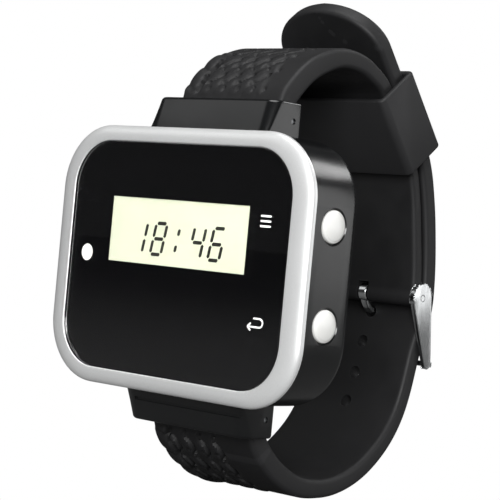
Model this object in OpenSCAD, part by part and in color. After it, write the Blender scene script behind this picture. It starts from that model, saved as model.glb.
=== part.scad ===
// Wrist pager: a rounded case with a clear window, worn on a rubber band with a pin buckle.
// Millimetres. The origin is the middle of the case's flat back, which rests on the wrist.
// +X points to the buttons, the window looks along -Y, and +Z points to the band's upper half.

/* [Case] */
// Outside width of the bezel
bezel_w = 53.4; // [46:0.2:66]
// Outside height of the bezel
bezel_h = 40.6; // [36:0.2:50]
// Corner radius of the bezel's outline
bezel_r = 10; // [8:0.5:12]
// Width of the bezel beside the window
side_band = 3.6; // [3:0.1:4.6]
// Width of the bezel above and below the window
end_band = 2.5; // [2:0.1:3.2]
// Depth from the window's face to the back face
case_depth = 13; // [12.4:0.2:16]
// Fall of the bezel's rolled front, from the window to the joint with the rear case
bezel_drop = 1.6; // [1.4:0.1:2]
// Step in from the bezel's outline to the rear case's outline
case_step = 0.4; // [0.2:0.1:0.6]
// Thickness of the rear case's walls
case_wall = 1.6; // [1.4:0.1:2]
// Thickness of the back cover
cover_t = 1.2; // [1:0.1:1.5]
// Chamfer between the rear case's walls and the back cover
back_chamfer = 1.6; // [1:0.1:2]

/* [Window] */
// Thickness of the clear window
lens_t = 1.1; // [0.8:0.1:1.3]
// Corner radius of the window
lens_r = 7.4; // [5:0.2:9]
// Width of the display opening
display_w = 29.2; // [24:0.2:34]
// Height of the display opening
display_h = 10.1; // [8:0.1:12]
// Height of the display's middle above the case's middle
display_z = 4.15; // [0:0.05:5]
// Radius of the indicator light's opening
led_r = 1.34; // [0.8:0.02:1.8]

/* [Buttons] */
// Radius of each push button
button_r = 2.43; // [1.8:0.01:3]
// Height of each button above or below the case's middle
button_z = 7.2; // [5:0.1:9]
// Travel of each button
button_travel = 0.5; // [0.3:0.1:0.7]
// Height of a button's rim outside the case
button_proud = 0.2; // [0:0.1:0.6]

/* [Band hoods and spring bars] */
// Outside width of the hoods that hold the band
hood_w = 25.3; // [24:0.1:29]
// Height of a hood beyond the rear case
hood_reach = 5.6; // [5:0.1:7]
// Thickness of a hood's front plate
hood_wall = 1.5; // [1:0.1:2]
// Distance of each spring bar beyond the rear case
bar_reach = 2.7; // [2.6:0.1:3.2]
// Depth of each spring bar in front of the back face
bar_depth = 2.4; // [2.2:0.1:3]
// Radius of a spring bar's tube
bar_r = 0.75; // [0.6:0.01:0.95]
// Radius of a spring bar's tips
tip_r = 0.42; // [0.34:0.01:0.5]

/* [Band] */
// Width of the band
band_w = 21.6; // [18:0.1:22]
// Thickness of the band where it leaves the hoods
band_t = 3.5; // [3:0.1:3.8]
// Thickness of the band's free end
tail_t = 2.9; // [2.4:0.1:3]
// Thickness of the upper half where the free end lies over it
under_t = 2.2; // [1.8:0.1:2.6]
// Radius of the adjustment holes
hole_r = 1.05; // [0.9:0.05:1.3]
// Distance between adjustment holes
hole_pitch = 5.4; // [4.6:0.1:6.5]
// Length of the rounded end
tip_len = 8; // [6:0.5:12]

/* [Keeper] */
// Length of the keeper along the band
keeper_len = 14.4; // [10:0.2:15]
// Thickness of the keeper's walls
keeper_wall = 1; // [0.8:0.1:1.4]

/* [Buckle] */
// Radius of the buckle's pin
pin_r = 0.6; // [0.5:0.05:0.7]
// Radius of the buckle plates' round end
plate_r = 2.45; // [2.1:0.05:2.6]
// Thickness of the buckle's side plates
plate_t = 0.85; // [0.6:0.05:1]
// Radius of the buckle's cross bar
cross_r = 0.45; // [0.35:0.05:0.5]
// Thickness of the tongue
tongue_t = 1; // [0.8:0.05:1.2]
// Width of the tongue
tongue_w = 1.6; // [1.2:0.1:1.8]

/* [Hidden] */
$fn = 48;
over = 0.5;            // how far a cut runs past the face it opens
seat_gap = 0.05;       // clearance round a piece that drops into its seat
run_gap = 0.05;        // clearance round a piece that slides or turns in its bore
face_gap = 0.02;       // clearance between two flat faces that meet

// Planes along Y, front to back
front_y = -case_depth;
lens_back_y = front_y + lens_t;
mask_t = 0.1;
mask_back_y = lens_back_y + mask_t;
edge_t = 0.4;
lip_w = 0.5;
slice_t = 0.05;         // thickness of a slice of the rolled front
joint_y = front_y + bezel_drop;
cover_y = -cover_t;
rim_y = cover_y - back_chamfer;

// Rear case
case_w = bezel_w - 2 * case_step;
case_h = bezel_h - 2 * case_step;
case_r = bezel_r;
room_w = case_w - 2 * case_wall;
room_h = case_h - 2 * case_wall;
room_r = case_r - case_wall;
lens_w = bezel_w - 2 * side_band;
lens_h = bezel_h - 2 * end_band;
ledge_w = 1.1;
skirt_len = 0.95;
skirt_t = 0.8;
gasket_w = 0.7;
gasket_t = 0.6;
cover_w = case_w - 2 * back_chamfer;
cover_h = case_h - 2 * back_chamfer;
cover_r = case_r - back_chamfer;
back_steps = 2;
rim_t = 0.9;
rim_w = 1.4;

// Display stack
lcd_margin = 1.8;
lcd_t = 1.8;
lcd_y = mask_back_y + face_gap;
lcd_w = display_w + 2 * lcd_margin;
lcd_h = display_h + 2 * lcd_margin;
holder_wall = 1.1;
board_t = 1;
zebra_t = 1.5;
zebra_w = 1.4;
board_y = lcd_y + lcd_t + zebra_t;
board_back_y = board_y + board_t;
board_h = room_h - 3;
board_r = room_r - 1.5;
led_x = -(lens_w / 2 - led_r - 2.1);

// Parts on the back of the board
chip_x = 9;
chip_z = -11.5;
chip_w = 5;
chip_t = 1.1;
radio_x = -14;
radio_z = 3;
radio_w = 5.4;
radio_h = 9;
radio_t = 1.8;

// Cover screws, in bosses at the corners of the rear case
screw_r = 0.7;
head_r = 1.45;
head_t = 0.8;
head_sink = 0.1;
driver_w = 1.6;
driver_t = 0.3;
boss_r = 2.4;
screw_x = room_w / 2 - room_r + (room_r - boss_r + 0.3) * cos(45);
screw_z = room_h / 2 - room_r + (room_r - boss_r + 0.3) * sin(45);
screw_len = min(5, -board_back_y - cover_t);
boss_gap = 0.05;

// Buttons and switches on the +X wall
wall_out_x = case_w / 2;
wall_in_x = wall_out_x - case_wall;
button_y = -6.9;
flange_t = 0.8;
flange_r = button_r + 0.55;
seal_t = 0.5;
seal_r = min(button_r + 0.7, room_h / 2 - room_r + 0.55 - button_z);
dome_h = 0.35;
dome_steps = 5;
flange_out_x = wall_in_x - seal_t - face_gap;
flange_in_x = flange_out_x - flange_t;
flange_gap = 0.3;
board_w = 2 * (flange_in_x - button_travel - flange_gap);
plunger_r = 0.5;
plunger_len = 2;
housing_out_x = flange_in_x - face_gap - button_travel - 0.6;
housing_w = 5.6;
housing_d = 3.4;
housing_h = 5.6;
plunger_room = 0.3;

// Vibration motor, along X in the lower left of the case
motor_r = 2;
motor_len = 10;
motor_x = -9;
motor_y = cover_y - 3;
motor_z = -(room_h / 2 - 5.2);
shaft_r = 0.4;
shaft_len = 4.5;
weight_r = 2.2;
weight_len = 3;
weight_gap = 0.6;
bracket_t = 0.35;
bracket_w = 4;
bracket_lip = 0.4;
bracket_open_y = 0.6;

// Battery behind the board
battery_w = 24;
battery_h = 19;
battery_t = 3.4;
pad_t = 0.5;
battery_x = 4.6;
battery_z = 2.5;

// Antenna at the left of the case
antenna_r = 1.2;
winding_r = 1.8;
antenna_len = 16;
winding_len = 12;
antenna_x = -(room_w / 2 - 5);
antenna_y = board_back_y + winding_r + 0.3;
antenna_z = 2;

// Charging contacts on the back cover
contact_r = 1.1;
contact_pitch = 5;
contact_z = -11;

// Hoods and spring bars
hood_z = case_h / 2;
hood_end_z = hood_z + hood_reach;
hood_front_y = -8.3;
hood_lean = 1.5;
hood_back_y = -0.6;
hood_edge_r = 0.8;
hood_corner_r = 2;
band_side_gap = 0.3;
slot_w = band_w + 2 * band_side_gap;
bar_y = -bar_depth;
bar_z = hood_z + bar_reach;
bar_len = slot_w - 0.4;
tip_reach = slot_w / 2 + (hood_w - slot_w) / 2 - 0.3;
tip_travel = tip_reach - slot_w / 2 + 0.1;
piston_r = bar_r - 0.27;
piston_len = 1.1;
piston_end = bar_len / 2 - 0.4;
eye_r = 1.9;

// Routes of the band: [y, z, heading, thickness] of its middle, from each spring bar's axis.
// A heading is the direction of travel, in degrees from +Y towards +Z.
steps = 6;
upper_from_bar = [
    [0, 0, 80, band_t],
    [1.6, 4.4, 50, band_t],
    [8.2, 9.8, 24, band_t - 0.1],
    [14.1, 11.4, 0, band_t - 0.4],
    [20.4, 10.1, -26, band_t - 0.7],
    [24.1, 7.8, -45, under_t + 0.4],
    [28.7, 2.3, -51, under_t + 0.3],
    [34.1, -7.6, -74, under_t],
    [35.5, -14.1, -80, under_t],
    [36.9, -25.4, -90, under_t + 0.2]];
upper_route = [for (k = upper_from_bar) [bar_y + k[0], bar_z + k[1], k[2], k[3]]];
keeper_knot = upper_route[6];
pin_knot = upper_route[9];

// Buckle, from its pin
pin_y = pin_knot[0];
pin_z = pin_knot[1];
pin_eye_r = 1.5;
cross_y = pin_y + 2.95;
cross_z = pin_z - 10.9;
cross_lean = 13;
tip_plate_r = 0.85;
plate_gap = 0.25;
plate_in_x = band_w / 2 + plate_gap;
knuckle_r = 1.6;
knuckle_gap = 0.3;
band_gap = 0.35;
tail_run = 20.9;
tongue_share = 0.64;   // where the tongue's hole lies, as a share of the way from the cross bar to the pin
tongue_clear = 0.45;   // how far the tongue stands off the band before and after its hole

// The lower half: down from its bar, round the bottom, inside the cross bar, and over the upper half
lower_from_bar = [
    [0, 0, -80, band_t],
    [2.8, -5.6, -45, band_t],
    [9.8, -10.3, -23, band_t - 0.2],
    [16.4, -11.4, 0, tail_t + 0.1],
    [23.2, -10.2, 20, tail_t + 0.1],
    [29.7, -6.4, 40, tail_t + 0.1],
    [34, -1.5, 58, tail_t]];
cross_in = cross_r + band_gap + tail_t / 2;
tail_at_cross = [cross_y - cross_in * cos(cross_lean), cross_z + cross_in * sin(cross_lean),
    90 - cross_lean, tail_t - 0.1];
tail_at_pin = beside(pin_knot, pin_eye_r + 0.45 + tail_t / 2, 0);
tail_mid = beside(upper_route[8], under_t / 2 + band_gap + 0.7 + tail_t / 2, 0);
tail_low = beside(upper_route[7], under_t / 2 + band_gap + 0.55 + tail_t / 2, 0);
tail_in_keeper = beside(keeper_knot, under_t / 2 + band_gap + 0.15 + tail_t / 2, 0);
tail_end = beside(keeper_knot, under_t / 2 + band_gap + 0.1 + tail_t / 2, -tail_run);
lower_route = concat([for (k = lower_from_bar) [bar_y + k[0], -bar_z + k[1], k[2], k[3]]],
    [tail_at_cross, tail_at_pin, tail_mid, tail_low, tail_in_keeper, tail_end]);
cross_index = len(lower_from_bar);

upper_line = line_through(upper_route);
lower_line = line_through(lower_route);
tongue_index = cross_index * steps + round(steps * tongue_share);
tongue_hole = lower_line[tongue_index];
holes_below = 3;
holes_above = 4;

// Keeper, in the frame of its knot: along the band, and out from the wrist
keeper_in = -2.8;
keeper_out = under_t / 2 + 0.15 + band_gap + tail_t + 0.25;
keeper_side_gap = 0.4;
keeper_round = 1.2;

// A point beside a knot: out from the wrist, then along the knot's heading
function beside(knot, out, along) = [
    knot[0] - out * sin(knot[2]) + along * cos(knot[2]),
    knot[1] + out * cos(knot[2]) + along * sin(knot[2]),
    knot[2] + 180,
    tail_t];

// A point at share f of the smooth curve between two knots
function between(a, b, f) =
    let (reach = norm([b[0] - a[0], b[1] - a[1]]) * 0.35,
        p1 = [a[0] + reach * cos(a[2]), a[1] + reach * sin(a[2])],
        p2 = [b[0] - reach * cos(b[2]), b[1] - reach * sin(b[2])],
        g = 1 - f,
        p = g * g * g * [a[0], a[1]] + 3 * g * g * f * p1 + 3 * g * f * f * p2
            + f * f * f * [b[0], b[1]],
        d = g * g * (p1 - [a[0], a[1]]) + 2 * g * f * (p2 - p1) + f * f * ([b[0], b[1]] - p2))
    [p[0], p[1], atan2(d[1], d[0]), g * a[3] + f * b[3]];

function line_through(route) = concat(
    [for (i = [0:len(route) - 2]) for (j = [0:steps - 1]) between(route[i], route[i + 1], j / steps)],
    [route[len(route) - 1]]);

function side_of(line, side) = [for (p = line)
    [p[0] - side * p[3] / 2 * sin(p[2]), p[1] + side * p[3] / 2 * cos(p[2])]];

function reversed(list) = [for (i = [len(list) - 1:-1:0]) list[i]];

function gap_to_next(line, i) = norm([line[i + 1][0] - line[i][0], line[i + 1][1] - line[i][1]]);

// The point at a distance along a line, counted from point i
function walk(line, distance, i) =
    distance < gap_to_next(line, i) || i >= len(line) - 2
        ? line[i] + (line[i + 1] - line[i]) * distance / gap_to_next(line, i)
        : walk(line, distance - gap_to_next(line, i), i + 1);

function walk_back(line, distance, i) =
    distance < gap_to_next(line, i - 1) || i <= 1
        ? line[i] + (line[i - 1] - line[i]) * distance / gap_to_next(line, i - 1)
        : walk_back(line, distance - gap_to_next(line, i - 1), i - 1);

// Inset of the rear case's outline at each step of its back edge
function back_inset(i) = back_chamfer * pow(i / back_steps, 2);

// Outlines and extrusions
module rounded(w, h, r) {
    offset(r = r) square([w - 2 * r, h - 2 * r], center = true);
}

// A plate with an outline in X and Z, from one plane to another along Y
module plate(from_y, to_y) {
    translate([0, to_y, 0]) rotate([90, 0, 0]) linear_extrude(to_y - from_y) children();
}

// A bar with an outline in Y and Z, centred along X
module across(w) {
    translate([-w / 2, 0, 0]) rotate([90, 0, 90]) linear_extrude(w) children();
}

module pin_x(from_x, to_x, r) {
    translate([from_x, 0, 0]) rotate([0, 90, 0]) cylinder(r = r, h = to_x - from_x);
}

module pin_y(from_y, to_y, r) {
    translate([0, to_y, 0]) rotate([90, 0, 0]) cylinder(r = r, h = to_y - from_y);
}

module at_knot(knot) {
    translate([0, knot[0], knot[1]]) rotate([knot[2], 0, 0]) children();
}

module four_corners(x, z) {
    for (sx = [-1, 1]) for (sz = [-1, 1]) translate([sx * x, 0, sz * z]) children();
}

module both_halves() {
    children();
    mirror([0, 0, 1]) children();
}

// Case shells
module bezel_front() {
    roll = [[0, 0], [0.38, 0.08], [0.7, 0.3], [0.92, 0.66], [1, 1]];
    hull() {
        for (k = roll) {
            translate([0, front_y + k[1] * (bezel_drop - edge_t), 0]) plate(0, slice_t)
                rounded(lens_w + 2 * lip_w + k[0] * 2 * (side_band - lip_w),
                    lens_h + 2 * lip_w + k[0] * 2 * (end_band - lip_w),
                    lens_r + lip_w + k[0] * (bezel_r - lens_r - lip_w));
        }
        plate(joint_y - slice_t, joint_y) rounded(bezel_w, bezel_h, bezel_r);
    }
}

module bezel() {
    color("#dcdcda") {
        difference() {
            bezel_front();
            plate(front_y - over, mask_back_y) rounded(lens_w + 2 * seat_gap, lens_h + 2 * seat_gap, lens_r);
            plate(front_y - over, joint_y + over)
                rounded(lens_w - 2 * ledge_w, lens_h - 2 * ledge_w, lens_r - ledge_w);
        }
        plate(joint_y - 0.01, joint_y + skirt_len) difference() {
            rounded(room_w - 2 * seat_gap, room_h - 2 * seat_gap, room_r);
            rounded(room_w - 2 * skirt_t, room_h - 2 * skirt_t, room_r - skirt_t);
        }
    }
}

module lens() {
    color("#20242a") plate(front_y, lens_back_y) rounded(lens_w, lens_h, lens_r);
}

module lens_mask() {
    color("#0a0a0b") difference() {
        plate(lens_back_y, mask_back_y) rounded(lens_w, lens_h, lens_r);
        translate([0, 0, display_z]) plate(lens_back_y - over, mask_back_y + over)
            square([display_w, display_h], center = true);
        translate([led_x, 0, 0]) pin_y(lens_back_y - over, mask_back_y + over, led_r);
    }
}

module rear_case() {
    color("#17181a") difference() {
        union() {
            plate(joint_y, rim_y) rounded(case_w, case_h, case_r);
            for (i = [1:back_steps]) plate(rim_y - over, rim_y + i * back_chamfer / back_steps)
                rounded(case_w - 2 * back_inset(i), case_h - 2 * back_inset(i), case_r - back_inset(i));
            both_halves() hood_block();
        }
        difference() {
            plate(joint_y - over, cover_y - rim_t) rounded(room_w, room_h, room_r);
            four_corners(screw_x, screw_z) pin_y(board_back_y + boss_gap, cover_y, boss_r);
        }
        difference() {
            plate(cover_y - rim_t - over, cover_y + over)
                rounded(cover_w - 2 * rim_w, cover_h - 2 * rim_w, cover_r - rim_w);
            four_corners(screw_x, screw_z) pin_y(cover_y - 2 * rim_t, cover_y, boss_r);
        }
        four_corners(screw_x, screw_z)
            pin_y(cover_y - screw_len, cover_y + over, screw_r + face_gap);
        both_halves() hood_slot();
        for (side = [-1, 1]) translate([0, button_y, side * button_z])
            pin_x(wall_in_x - over, wall_out_x + over, button_r + run_gap);
        gasket_ring(gasket_w, gasket_t, over);
    }
}

// One hood: a sloping front plate and two cheeks that hold the spring bar
module hood_block() {
    hood_root = hood_z - case_wall / 2;
    difference() {
        across(hood_w) offset(r = hood_edge_r) offset(delta = -hood_edge_r) polygon([
            [hood_front_y, hood_root - hood_edge_r],
            [hood_front_y, hood_z],
            [hood_front_y + hood_lean, hood_end_z],
            [hood_back_y, hood_end_z],
            [hood_back_y, hood_z],
            [rim_y, hood_root - hood_edge_r]]);
        translate([0, -case_depth / 2, hood_root - 5]) cube([2 * hood_w, 2 * case_depth, 10], center = true);
        for (side = [0, 1]) mirror([side, 0, 0])
            translate([hood_w / 2 - hood_corner_r, hood_front_y + hood_corner_r, hood_z + 0.01])
                linear_extrude(2 * hood_reach) difference() {
                    translate([0, -2 * hood_corner_r]) square(2 * hood_corner_r);
                    circle(r = hood_corner_r);
                }
    }
}

module hood_slot() {
    across(slot_w) polygon([
        [hood_front_y + hood_wall, hood_z + 0.3],
        [hood_front_y + hood_lean + hood_wall, hood_end_z + over],
        [over, hood_end_z + over],
        [over, hood_z + 0.3]]);
    translate([0, bar_y, bar_z]) pin_x(-hood_w, hood_w, tip_r + run_gap);
}

module gasket_ring(w, t, up) {
    middle = case_wall / 2;
    plate(joint_y - up, joint_y + t) difference() {
        rounded(case_w - 2 * middle + w, case_h - 2 * middle + w, case_r - middle + w / 2);
        rounded(case_w - 2 * middle - w, case_h - 2 * middle - w, case_r - middle - w / 2);
    }
}

module case_gasket() {
    color("#3a3a3c") gasket_ring(gasket_w - 2 * face_gap, gasket_t - face_gap, -face_gap);
}

module back_cover() {
    color("#202123") difference() {
        hull() {
            plate(cover_y, cover_y + 0.5) rounded(cover_w, cover_h, cover_r);
            plate(-0.01, 0) rounded(cover_w - 1, cover_h - 1, cover_r - 0.5);
        }
        four_corners(screw_x, screw_z) {
            pin_y(cover_y - over, over, screw_r + run_gap);
            pin_y(-head_t - head_sink, over, head_r + run_gap);
        }
        for (side = [-1, 1]) translate([side * contact_pitch / 2, 0, contact_z])
            pin_y(cover_y - over, over, contact_r + face_gap);
    }
}

module cover_screws() {
    color("#b9bcc0") four_corners(screw_x, screw_z) difference() {
        union() {
            pin_y(-head_t - head_sink + face_gap, -head_sink, head_r);
            pin_y(cover_y - screw_len + 0.4, -head_t, screw_r);
        }
        for (a = [0, 90]) translate([0, -head_sink, 0]) rotate([0, a, 0])
            cube([driver_w, head_t - head_sink, driver_t], center = true);
    }
}

module charging_contacts() {
    color("#d8b45a") for (side = [-1, 1]) translate([side * contact_pitch / 2, 0, contact_z]) {
        pin_y(cover_y - 0.6, -0.15, contact_r);
    }
}

// Display and board
module lcd_glass() {
    color("#c9cdb8") translate([0, 0, display_z]) plate(lcd_y, lcd_y + lcd_t)
        square([lcd_w, lcd_h], center = true);
}

module lcd_holder() {
    color("#e8e8e2") translate([0, 0, display_z]) plate(lcd_y, board_y - face_gap) difference() {
        rounded(lcd_w + 2 * holder_wall, lcd_h + 2 * holder_wall, 1);
        square([lcd_w + 2 * seat_gap, lcd_h + 2 * seat_gap], center = true);
    }
}

module zebra_strips() {
    zebra_z = lcd_h / 2 - zebra_w / 2 - 0.3;
    color("#8a6f7a") for (side = [-1, 1]) translate([0, 0, display_z + side * zebra_z])
        plate(lcd_y + lcd_t + face_gap, board_y - face_gap) square([display_w, zebra_w], center = true);
}

module circuit_board() {
    color("#1f5c3a") plate(board_y, board_back_y) rounded(board_w, board_h, board_r);
}

module controller_chip() {
    color("#18181a") translate([chip_x, 0, chip_z]) plate(board_back_y + face_gap, board_back_y + chip_t)
        square([chip_w, chip_w], center = true);
}

module radio_module() {
    color("#b8bcc2") translate([radio_x, 0, radio_z]) plate(board_back_y + face_gap, board_back_y + radio_t)
        rounded(radio_w, radio_h, 0.4);
}

module antenna_core() {
    color("#3b3a40") translate([antenna_x, antenna_y, antenna_z - antenna_len / 2])
        cylinder(r = antenna_r, h = antenna_len);
}

module antenna_coil() {
    color("#b5652d") translate([antenna_x, antenna_y, antenna_z - winding_len / 2]) difference() {
        cylinder(r = winding_r, h = winding_len);
        translate([0, 0, -over]) cylinder(r = antenna_r + face_gap, h = winding_len + 2 * over);
    }
}

module led_light_pipe() {
    color("#f4f4ef") translate([led_x, 0, 0]) pin_y(mask_back_y + face_gap, board_y - 0.9, led_r);
}

module indicator_led() {
    color("#f2efe0") translate([led_x, 0, 0]) plate(board_y - 0.85, board_y - face_gap)
        square([1.6, 0.9], center = true);
}

module battery_pad() {
    color("#2c2c30") translate([battery_x, 0, battery_z]) plate(cover_y - pad_t, cover_y - face_gap)
        square([battery_w - 4, battery_h - 4], center = true);
}

module battery() {
    color("#b9c0c8") translate([battery_x, 0, battery_z])
        plate(cover_y - pad_t - face_gap - battery_t, cover_y - pad_t - face_gap)
            rounded(battery_w, battery_h, 1.2);
}

// Vibration motor
module motor_place() {
    translate([motor_x, motor_y, motor_z]) children();
}

module vibration_motor() {
    color("#aeb3b8") motor_place() difference() {
        pin_x(-motor_len / 2, motor_len / 2, motor_r);
        pin_x(motor_len / 2 - 3, motor_len / 2 + over, shaft_r + run_gap);
    }
}

module motor_bracket() {
    color("#8f9499") motor_place() difference() {
        translate([-bracket_w / 2 + 1, -motor_r - bracket_t - bracket_lip, -motor_r - bracket_t])
            cube([bracket_w, 2 * motor_r + bracket_t + bracket_lip, 2 * (motor_r + bracket_t)]);
        pin_x(-bracket_w, bracket_w + 1, motor_r + face_gap);
        translate([-bracket_w, bracket_open_y, -2 * motor_r])
            cube([2 * bracket_w + 1, 2 * motor_r, 4 * motor_r]);
    }
}

module motor_shaft() {
    color("#c6cacd") motor_place() pin_x(motor_len / 2 - 2.5, motor_len / 2 + shaft_len, shaft_r);
}

module motor_weight() {
    color("#7d7f80") motor_place() difference() {
        pin_x(motor_len / 2 + weight_gap, motor_len / 2 + weight_gap + weight_len, weight_r);
        pin_x(motor_len / 2, motor_len / 2 + shaft_len, shaft_r);
        translate([motor_len / 2, -weight_r - over, shaft_r + 0.4])
            cube([weight_len + 2, 2 * weight_r + 2 * over, weight_r + over]);
    }
}

// Buttons and their switches
module button(side) {
    dome_r = (button_r * button_r + dome_h * dome_h) / (2 * dome_h);
    rim_x = wall_out_x + button_proud;
    dome_x = rim_x + dome_h - dome_r;
    dome_angle = asin(button_r / dome_r);
    translate([0, button_y, side * button_z]) rotate([0, 90, 0]) rotate_extrude() polygon(concat(
        [[0, flange_in_x], [flange_r, flange_in_x], [flange_r, flange_out_x], [button_r, flange_out_x]],
        [for (i = [dome_steps:-1:0]) let (a = dome_angle * i / dome_steps)
            [dome_r * sin(a), dome_x + dome_r * cos(a)]]));
}

module mode_button() {
    color("#e9e9e6") button(1);
}

module return_button() {
    color("#e9e9e6") button(-1);
}

module button_seals() {
    color("#2a2a2c") for (side = [-1, 1]) translate([0, button_y, side * button_z]) difference() {
        pin_x(wall_in_x - seal_t, wall_in_x - face_gap, seal_r);
        pin_x(wall_in_x - 2 * seal_t, wall_in_x + over, button_r + run_gap);
    }
}

module switch_housings() {
    color("#2b2b2d") for (side = [-1, 1]) translate([0, button_y, side * button_z]) difference() {
        translate([housing_out_x - housing_w, board_back_y - button_y + face_gap, -housing_h / 2])
            cube([housing_w, housing_d - (board_back_y - button_y), housing_h]);
        pin_x(housing_out_x - plunger_len - plunger_room, housing_out_x + over, plunger_r + run_gap);
    }
}

module switch_plunger(side) {
    color("#d6d2c4") translate([0, button_y, side * button_z])
        pin_x(housing_out_x - plunger_len + button_travel, flange_in_x - face_gap, plunger_r);
}

module mode_switch_plunger() {
    switch_plunger(1);
}

module return_switch_plunger() {
    switch_plunger(-1);
}

// Spring bars
module spring_bar(half) {
    color("#c3c6c9") translate([0, bar_y, half * bar_z]) difference() {
        pin_x(-bar_len / 2, bar_len / 2, bar_r);
        for (side = [0, 1]) mirror([side, 0, 0]) {
            pin_x(piston_end - piston_len - tip_travel - 0.3, piston_end + face_gap, piston_r + face_gap);
            pin_x(piston_end, bar_len / 2 + over, tip_r + face_gap);
        }
    }
}

module bar_tip(half, side) {
    color("#d2d4d6") translate([0, bar_y, half * bar_z]) mirror([side < 0 ? 1 : 0, 0, 0]) {
        pin_x(piston_end - piston_len, piston_end, piston_r);
        pin_x(piston_end - piston_len, tip_reach, tip_r);
    }
}

module upper_spring_bar() {
    spring_bar(1);
}

module lower_spring_bar() {
    spring_bar(-1);
}

module upper_bar_tip_left() {
    bar_tip(1, -1);
}

module upper_bar_tip_right() {
    bar_tip(1, 1);
}

module lower_bar_tip_left() {
    bar_tip(-1, -1);
}

module lower_bar_tip_right() {
    bar_tip(-1, 1);
}

// Band
module ribbon(line) {
    across(band_w) polygon(concat(side_of(line, 1), reversed(side_of(line, -1))));
}

module upper_strap() {
    slot_half = tongue_w / 2 + knuckle_gap;
    slot_depth = 6 * pin_eye_r;
    color("#1b1c1e") difference() {
        union() {
            ribbon(upper_line);
            translate([0, bar_y, bar_z]) pin_x(-band_w / 2, band_w / 2, eye_r);
            translate([0, pin_y, pin_z]) pin_x(-band_w / 2, band_w / 2, pin_eye_r);
        }
        translate([0, bar_y, bar_z]) pin_x(-band_w, band_w, bar_r + run_gap);
        translate([0, pin_y, pin_z]) {
            pin_x(-band_w, band_w, pin_r + run_gap);
            translate([-slot_half, -slot_depth / 2, -2 * knuckle_r])
                cube([2 * slot_half, slot_depth, 3 * knuckle_r + knuckle_gap]);
        }
    }
}

module lower_strap() {
    color("#1b1c1e") difference() {
        union() {
            ribbon(lower_line);
            translate([0, bar_y, -bar_z]) pin_x(-band_w / 2, band_w / 2, eye_r);
        }
        translate([0, bar_y, -bar_z]) pin_x(-band_w, band_w, bar_r + run_gap);
        hole_at(tongue_hole);
        for (i = [1:holes_below]) hole_at(walk_back(lower_line, i * hole_pitch, tongue_index));
        for (i = [1:holes_above]) hole_at(walk(lower_line, i * hole_pitch, tongue_index));
        tip_trim();
    }
}

module hole_at(knot) {
    at_knot(knot) translate([0, 0, -band_t]) cylinder(r = hole_r, h = 2 * band_t);
}

// What is cut away outside the free end's half oval
module tip_trim() {
    at_knot(tail_end) translate([0, -tip_len, -band_t]) linear_extrude(2 * band_t)
        for (side = [-1, 1]) polygon(concat(
            [[side * band_w, 0], [side * band_w, tip_len + over], [0, tip_len + over]],
            [for (a = [90:-5:0]) [side * band_w / 2 * cos(a), tip_len * sin(a)]]));
}

module keeper() {
    slot = band_w + 2 * keeper_side_gap;
    color("#1d1e20") at_knot(keeper_knot) translate([0, -keeper_len / 2, 0]) rotate([-90, 0, 0])
        linear_extrude(keeper_len) translate([0, -(keeper_in + keeper_out) / 2]) difference() {
            rounded(slot + 2 * keeper_wall, keeper_out - keeper_in + 2 * keeper_wall, keeper_round);
            rounded(slot, keeper_out - keeper_in, 0.4);
        }
}

// Buckle
module buckle_frame() {
    color("#c9ccce") {
        for (side = [0, 1]) mirror([side, 0, 0]) difference() {
            translate([plate_in_x + plate_t / 2, 0, 0]) across(plate_t) hull() {
                translate([pin_y, pin_z]) circle(r = plate_r);
                translate([cross_y, cross_z]) circle(r = tip_plate_r);
            }
            translate([0, pin_y, pin_z])
                pin_x(plate_in_x - over, plate_in_x + plate_t + over, pin_r + face_gap);
        }
        translate([0, cross_y, cross_z]) pin_x(-plate_in_x - 0.1, plate_in_x + 0.1, cross_r);
    }
}

module buckle_pin() {
    color("#b4b7ba") translate([0, pin_y, pin_z])
        pin_x(-plate_in_x - plate_t, plate_in_x + plate_t, pin_r);
}

module buckle_tongue() {
    step = tail_t / 2 + tongue_t / 2 + tongue_clear;
    lean = tongue_hole[2] - 90;
    inner = [tongue_hole[0] - step * cos(lean), tongue_hole[1] - step * sin(lean)];
    outer = [tongue_hole[0] + step * cos(lean), tongue_hole[1] + step * sin(lean)];
    rest = [cross_y + cross_r + tongue_t / 2 + face_gap, cross_z - 0.3];
    color("#d6d8da") difference() {
        across(tongue_w) {
            translate([pin_y, pin_z]) circle(r = knuckle_r);
            leg([pin_y - knuckle_r + tongue_t / 2, pin_z], inner);
            leg(inner, outer);
            leg(outer, rest);
        }
        translate([0, pin_y, pin_z]) pin_x(-tongue_w, tongue_w, pin_r + run_gap);
    }
}

module leg(from, to) {
    hull() {
        translate(from) circle(r = tongue_t / 2);
        translate(to) circle(r = tongue_t / 2);
    }
}

bezel();
lens();
lens_mask();
lcd_glass();
lcd_holder();
zebra_strips();
circuit_board();
controller_chip();
radio_module();
antenna_core();
antenna_coil();
led_light_pipe();
indicator_led();
battery();
battery_pad();
vibration_motor();
motor_bracket();
motor_shaft();
motor_weight();
switch_housings();
mode_switch_plunger();
return_switch_plunger();
mode_button();
return_button();
button_seals();
rear_case();
case_gasket();
back_cover();
cover_screws();
charging_contacts();
upper_spring_bar();
upper_bar_tip_left();
upper_bar_tip_right();
lower_spring_bar();
lower_bar_tip_left();
lower_bar_tip_right();
upper_strap();
lower_strap();
keeper();
buckle_frame();
buckle_pin();
buckle_tongue();
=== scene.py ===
"""Wrist pager: the finished look of every part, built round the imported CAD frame.

Shapes are modelled in millimetres and written to their meshes in metres.
+X points to the buttons, the window looks along -Y, and +Z points to the band's upper half.
"""
from bisect import bisect_right
from math import atan2, cos, degrees, hypot, pi, radians, sin, sqrt

import bmesh
import bpy
from bpy.props import FloatProperty, FloatVectorProperty, PointerProperty
from mathutils import Matrix, Vector


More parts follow.
